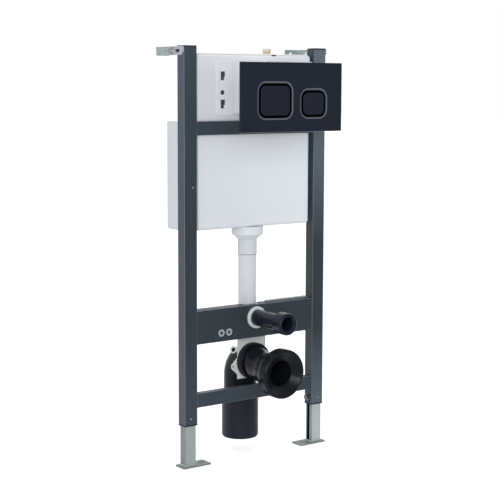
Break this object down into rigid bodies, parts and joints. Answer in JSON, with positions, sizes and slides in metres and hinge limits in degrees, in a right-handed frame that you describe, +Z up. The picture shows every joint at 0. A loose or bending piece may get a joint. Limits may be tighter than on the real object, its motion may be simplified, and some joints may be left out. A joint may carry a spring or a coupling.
{
  "type": "wall hung toilet frame",
  "caption": "Free-standing steel mounting frame for a wall hung toilet, with telescopic feet, concealed cistern, flush plate, flush pipe and drain bend.",
  "frame": {"origin": "on the floor midway between the two feet, at the centre of their bolt slots and in the middle plane of the uprights", "axes": "+Z up, +Y back to the wall, +X to the right seen from the front"},
  "size_m": [0.4876, 0.304, 1.11],
  "materials": {
    "frame_paint": "satin powder coat",
    "galvanised_steel": "galvanised",
    "zinc_fasteners": "zinc plated",
    "tank_plastic": "satin moulded",
    "cover_plastic": "satin moulded",
    "support_plastic": "satin moulded",
    "plate_plastic": "smooth satin",
    "pipe_plastic": "moulded, slightly glossy",
    "black_plastic": "moulded",
    "seal_rubber": "moulded",
    "inlet_brass": "turned"
  },
  "bodies": {
    "feet": {"right_leg": "galvanised_steel", "left_leg": "galvanised_steel", "right_foot_plate": "galvanised_steel", "left_foot_plate": "galvanised_steel"},
    "frame": {"right_upright": "frame_paint", "left_upright": "frame_paint", "right_upright_cap": "black_plastic", "left_upright_cap": "black_plastic", "right_leg_bush": "black_plastic", "left_leg_bush": "black_plastic", "top_crossbar": "frame_paint", "bottom_crossbar": "frame_paint", "pan_crossbar": "frame_paint", "stiffening_strip": "galvanised_steel", "right_stud_nuts": "zinc_fasteners", "left_stud_nuts": "zinc_fasteners", "right_leg_clamp_bolt": "zinc_fasteners", "left_leg_clamp_bolt": "zinc_fasteners", "right_bracket_bolt": "zinc_fasteners", "left_bracket_bolt": "zinc_fasteners", "right_bracket_plate": "galvanised_steel", "left_bracket_plate": "galvanised_steel", "cistern_tank": "tank_plastic", "cistern_hood": "tank_plastic", "inlet_nipple": "inlet_brass", "inlet_cap": "tank_plastic", "cover_plate": "cover_plastic", "service_shaft": "cover_plastic", "flush_plate": "plate_plastic", "outlet_nut": "tank_plastic", "flush_socket": "tank_plastic", "flush_pipe": "tank_plastic", "flush_collar": "cover_plastic", "flush_tube": "pipe_plastic", "drain_bend": "pipe_plastic", "drain_adapter": "pipe_plastic", "seal_ring": "seal_rubber", "pipe_support": "support_plastic", "pan_connector": "pipe_plastic"},
    "left_bracket": {"left_wall_bracket": "galvanised_steel"},
    "right_bracket": {"right_wall_bracket": "galvanised_steel"},
    "full_button": {"full_flush_button": "plate_plastic"},
    "half_button": {"half_flush_button": "plate_plastic"}
  },
  "joints": [
    {"name": "height_adjust", "type": "slide", "parent": "feet", "child": "frame", "axis": [0, 0, 1], "range_m": [-0.03, 0.085]},
    {"name": "left_bracket_slide", "type": "slide", "parent": "frame", "child": "left_bracket", "axis": [0, 1, 0], "range_m": [0, 0.009]},
    {"name": "right_bracket_slide", "type": "slide", "parent": "frame", "child": "right_bracket", "axis": [0, 1, 0], "range_m": [0, 0.009]},
    {"name": "full_flush_press", "type": "slide", "parent": "frame", "child": "full_button", "axis": [0, 1, 0], "range_m": [0, 0.003], "stiffness_N_per_m": 600, "springref_m": -0.002},
    {"name": "half_flush_press", "type": "slide", "parent": "frame", "child": "half_button", "axis": [0, 1, 0], "range_m": [0, 0.003], "stiffness_N_per_m": 600, "springref_m": -0.002}
  ]
}
